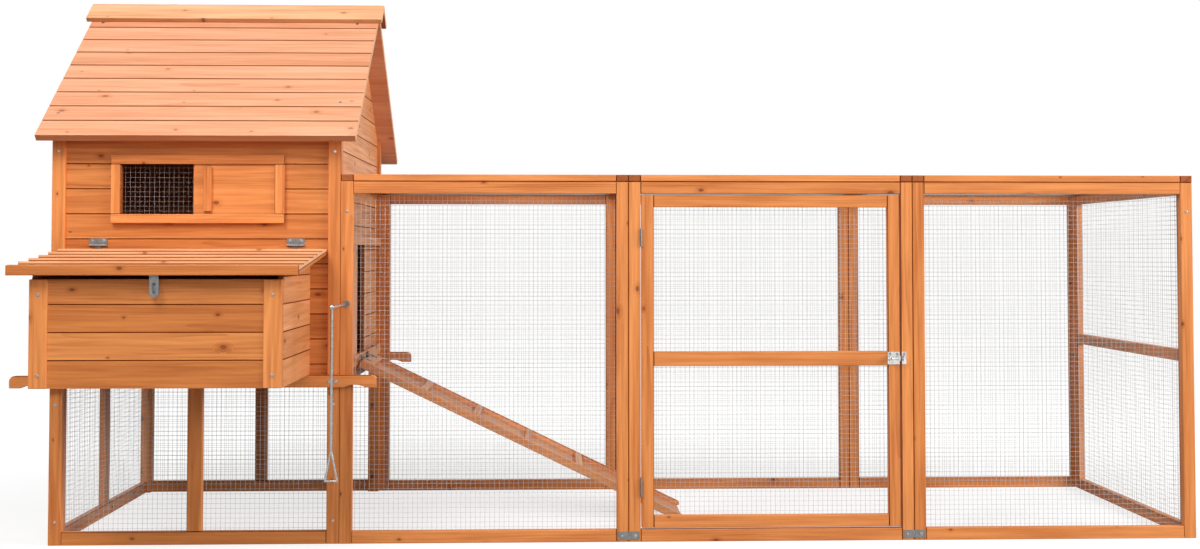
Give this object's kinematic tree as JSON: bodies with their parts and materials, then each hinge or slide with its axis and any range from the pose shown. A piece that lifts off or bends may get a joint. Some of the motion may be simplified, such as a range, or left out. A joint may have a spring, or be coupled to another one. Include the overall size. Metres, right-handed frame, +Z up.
{
  "type": "chicken coop with run",
  "caption": "Timber chicken coop: raised gabled house with nest box, sliding pop door and ramp, joined to a low wire-mesh run with a hinged, bolted door.",
  "frame": {"origin": "on the ground, in the middle of the whole plan", "axes": "+X from the house along the run, +Y from the front to the back, +Z up"},
  "size_m": [3.133, 1.27, 1.4936],
  "materials": {
    "frame_timber": "honey-stained fir, satin",
    "wall_boards": "honey-stained tongue-and-groove fir, satin",
    "roof_boards": "paler stained fir, satin",
    "plain_boards": "stained fir, matt",
    "wire_mesh": "galvanised welded wire",
    "zinc_plate": "zinc plated sheet",
    "bright_steel": "bright plated"
  },
  "bodies": {
    "coop": {"house_posts": "frame_timber", "lifting_rails": "frame_timber", "floor_bearers": "frame_timber", "wall_plates": "frame_timber", "roof_bearers": "frame_timber", "window_frame": "frame_timber", "nest_corner_posts": "frame_timber", "pen_frame": "frame_timber", "run_door_surround": "frame_timber", "run_front_frames": "frame_timber", "run_back_frames": "frame_timber", "run_end_frame": "frame_timber", "run_roof_frames": "frame_timber", "pop_door_guides": "frame_timber", "front_wall_boards": "wall_boards", "back_wall_boards": "wall_boards", "right_wall_boards": "wall_boards", "left_wall_boards": "wall_boards", "nest_front_boards": "wall_boards", "nest_side_boards": "wall_boards", "roof_front_boards": "roof_boards", "roof_back_boards": "roof_boards", "ridge_cap": "roof_boards", "house_floor": "plain_boards", "perches": "plain_boards", "nest_floor": "plain_boards", "nest_divider": "plain_boards", "window_mesh": "wire_mesh", "pen_mesh": "wire_mesh", "run_front_mesh": "wire_mesh", "run_back_mesh": "wire_mesh", "run_end_mesh": "wire_mesh", "run_roof_mesh": "wire_mesh", "lid_hinge_wall_leaves": "zinc_plate", "hasp_staple": "zinc_plate", "ramp_hinge_wall_leaves": "zinc_plate", "door_hinge_post_leaves": "zinc_plate", "hinge_pins": "zinc_plate", "joining_plates": "zinc_plate", "rod_ferrule": "zinc_plate", "bolt_keeper": "bright_steel", "frame_screws": "bright_steel"},
    "window_shutter": {"window_shutter": "wall_boards", "shutter_handle": "frame_timber"},
    "nest_lid": {"nest_lid_boards": "roof_boards", "nest_lid_rails": "frame_timber", "lid_hinge_lid_leaves": "zinc_plate", "hasp_leaf": "zinc_plate"},
    "hasp": {"hasp_strap": "zinc_plate"},
    "pop_door": {"pop_door_panel": "wall_boards", "pop_door_rod": "bright_steel"},
    "pull_rod": {"pull_rod": "bright_steel"},
    "ramp": {"ramp_planks": "plain_boards", "ramp_cleats": "frame_timber", "ramp_hinge_ramp_leaves": "zinc_plate"},
    "run_door": {"run_door_frame": "frame_timber", "run_door_mesh": "wire_mesh", "door_hinge_door_leaves": "zinc_plate", "bolt_body": "bright_steel"},
    "bolt": {"bolt_rod": "bright_steel"}
  },
  "joints": [
    {"name": "window_shutter_slide", "type": "slide", "parent": "coop", "child": "window_shutter", "axis": [1, 0, 0], "range_m": [-0.202, 0]},
    {"name": "nest_lid_hinge", "type": "hinge", "parent": "coop", "child": "nest_lid", "pos_m": [-1.091, -0.239, 0.782], "axis": [-1, 0, 0], "range_deg": [0, 75]},
    {"name": "hasp_hinge", "type": "hinge", "parent": "nest_lid", "child": "hasp", "pos_m": [-1.091, -0.62, 0.70833], "axis": [-1, 0, 0], "range_deg": [-15, 80]},
    {"name": "pop_door_slide", "type": "slide", "parent": "coop", "child": "pop_door", "axis": [0, 1, 0], "range_m": [0, 0.209]},
    {"name": "pull_rod_swing", "type": "hinge", "parent": "pop_door", "child": "pull_rod", "pos_m": [-0.6975, -0.478, 0.628], "axis": [-1, 0, 0], "range_deg": [0, 90]},
    {"name": "ramp_hinge", "type": "hinge", "parent": "coop", "child": "ramp", "pos_m": [-0.7055, 0.165, 0.466], "axis": [0, -1, 0], "range_deg": [0, 50]},
    {"name": "run_door_hinge", "type": "hinge", "parent": "coop", "child": "run_door", "pos_m": [0.08, -0.248, 0.476], "axis": [0, 0, -1], "range_deg": [0, 165]},
    {"name": "bolt_slide", "type": "slide", "parent": "run_door", "child": "bolt", "axis": [1, 0, 0], "range_m": [0, 0.013]}
  ]
}
